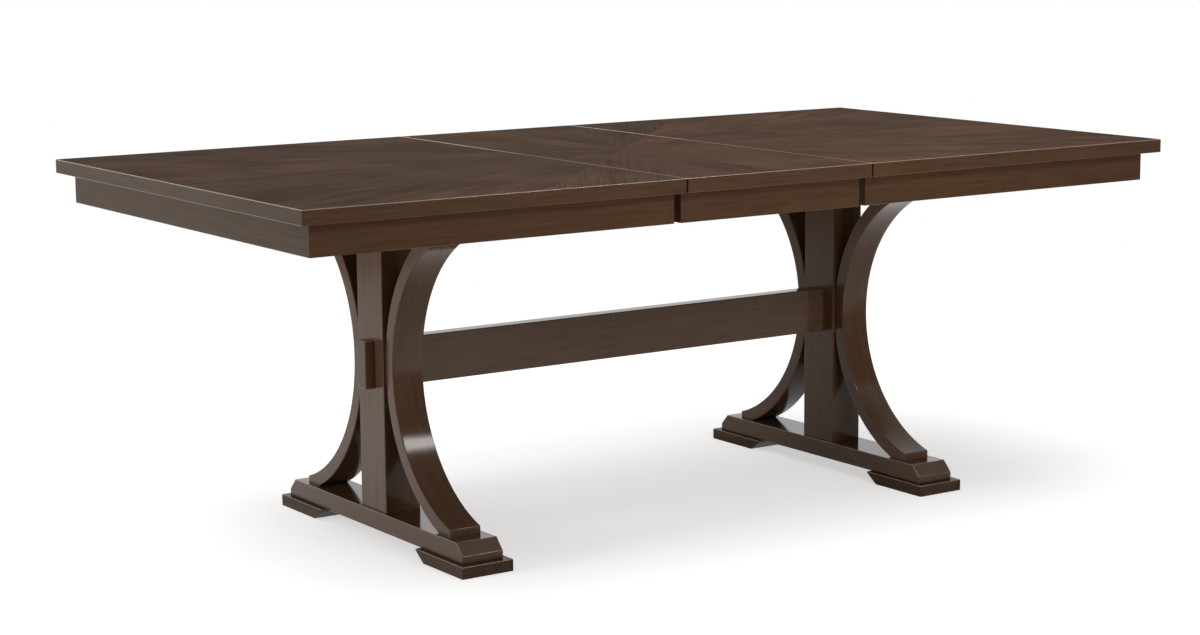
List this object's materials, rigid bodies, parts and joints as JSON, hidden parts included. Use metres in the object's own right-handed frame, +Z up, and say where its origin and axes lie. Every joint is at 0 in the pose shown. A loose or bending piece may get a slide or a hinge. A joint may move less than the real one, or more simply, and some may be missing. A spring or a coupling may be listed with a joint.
{
  "type": "extending dining table",
  "caption": "Extending dining table whose rectangular top parts on wooden slides for a drop-in leaf, on pedestals of back-to-back curved legs joined by a stretcher.",
  "frame": {"origin": "on the floor under the middle of the table", "axes": "+X along the table, +Y towards its rear side, +Z up"},
  "size_m": [2.108, 1.098, 0.762],
  "materials": {
    "stained_wood": "dark stain under gloss lacquer",
    "top_veneer": "dark stained veneer under gloss lacquer",
    "slide_hardwood": "planed and waxed",
    "block_softwood": "sawn",
    "gear_nylon": "moulded",
    "zinc_plated_steel": "zinc plated"
  },
  "bodies": {
    "base": {"barrel_nuts": "zinc_plated_steel", "equaliser_bridge": "slide_hardwood", "foot_pad_screws": "zinc_plated_steel", "front_centre_rail": "slide_hardwood", "left_foot_beam": "stained_wood", "left_front_foot_pad": "stained_wood", "left_front_leg": "stained_wood", "left_post": "stained_wood", "left_rear_foot_pad": "stained_wood", "left_rear_leg": "stained_wood", "left_tenon_block": "stained_wood", "left_top_cleat": "stained_wood", "leg_screws": "zinc_plated_steel", "pinion_axle": "zinc_plated_steel", "post_lag_bolts": "zinc_plated_steel", "rail_screws": "zinc_plated_steel", "rear_centre_rail": "slide_hardwood", "right_foot_beam": "stained_wood", "right_front_foot_pad": "stained_wood", "right_front_leg": "stained_wood", "right_post": "stained_wood", "right_rear_foot_pad": "stained_wood", "right_rear_leg": "stained_wood", "right_tenon_block": "stained_wood", "right_top_cleat": "stained_wood", "stretcher": "stained_wood", "stretcher_bolts": "zinc_plated_steel"},
    "left_top": {"left_alignment_pegs": "block_softwood", "left_apron_blocks": "block_softwood", "left_end_apron": "stained_wood", "left_front_apron": "stained_wood", "left_front_runner": "slide_hardwood", "left_lock_catches": "zinc_plated_steel", "left_rack": "gear_nylon", "left_rear_apron": "stained_wood", "left_rear_runner": "slide_hardwood", "left_slide_screws": "zinc_plated_steel", "left_top_panel": "top_veneer"},
    "right_top": {"right_alignment_pegs": "block_softwood", "right_apron_blocks": "block_softwood", "right_end_apron": "stained_wood", "right_front_apron": "stained_wood", "right_front_runner": "slide_hardwood", "right_lock_catches": "zinc_plated_steel", "right_rack": "gear_nylon", "right_rear_apron": "stained_wood", "right_rear_runner": "slide_hardwood", "right_slide_screws": "zinc_plated_steel", "right_top_panel": "top_veneer"},
    "pinion": {"equaliser_pinion": "gear_nylon"},
    "leaf": {"leaf_apron_blocks": "block_softwood", "leaf_front_apron": "stained_wood", "leaf_lock_plates": "zinc_plated_steel", "leaf_lock_screws": "zinc_plated_steel", "leaf_panel": "top_veneer", "leaf_rear_apron": "stained_wood"},
    "left_front_lock_lever": {"left_front_lock_lever": "zinc_plated_steel"},
    "left_rear_lock_lever": {"left_rear_lock_lever": "zinc_plated_steel"},
    "right_front_lock_lever": {"right_front_lock_lever": "zinc_plated_steel"},
    "right_rear_lock_lever": {"right_rear_lock_lever": "zinc_plated_steel"}
  },
  "joints": [
    {"name": "left_half_slide", "type": "slide", "parent": "base", "child": "left_top", "axis": [-1, 0, 0], "range_m": [0, 0.06]},
    {"name": "right_half_slide", "type": "slide", "parent": "base", "child": "right_top", "axis": [1, 0, 0], "range_m": [0, 0.06]},
    {"name": "pinion_spin", "type": "hinge", "parent": "base", "child": "pinion", "pos_m": [0, 0, 0.7155], "axis": [0, 0, 1], "range_deg": [0, 216]},
    {"name": "leaf_lift", "type": "slide", "parent": "base", "child": "leaf", "axis": [0, 0, 1], "range_m": [0, 0.25]},
    {"name": "left_front_lock_turn", "type": "hinge", "parent": "leaf", "child": "left_front_lock_lever", "pos_m": [-0.208, -0.39475, 0.7287], "axis": [0, 0, 1], "range_deg": [0, 90]},
    {"name": "right_front_lock_turn", "type": "hinge", "parent": "leaf", "child": "right_front_lock_lever", "pos_m": [0.208, -0.39475, 0.7287], "axis": [0, 0, -1], "range_deg": [0, 90]},
    {"name": "left_rear_lock_turn", "type": "hinge", "parent": "leaf", "child": "left_rear_lock_lever", "pos_m": [-0.208, 0.39475, 0.7287], "axis": [0, 0, -1], "range_deg": [0, 90]},
    {"name": "right_rear_lock_turn", "type": "hinge", "parent": "leaf", "child": "right_rear_lock_lever", "pos_m": [0.208, 0.39475, 0.7287], "axis": [0, 0, 1], "range_deg": [0, 90]}
  ],
  "couplings": [
    {"joint": "right_half_slide", "follows": "left_half_slide", "ratio": 1},
    {"joint": "pinion_spin", "follows": "left_half_slide", "rad_per_m": 62.5}
  ]
}
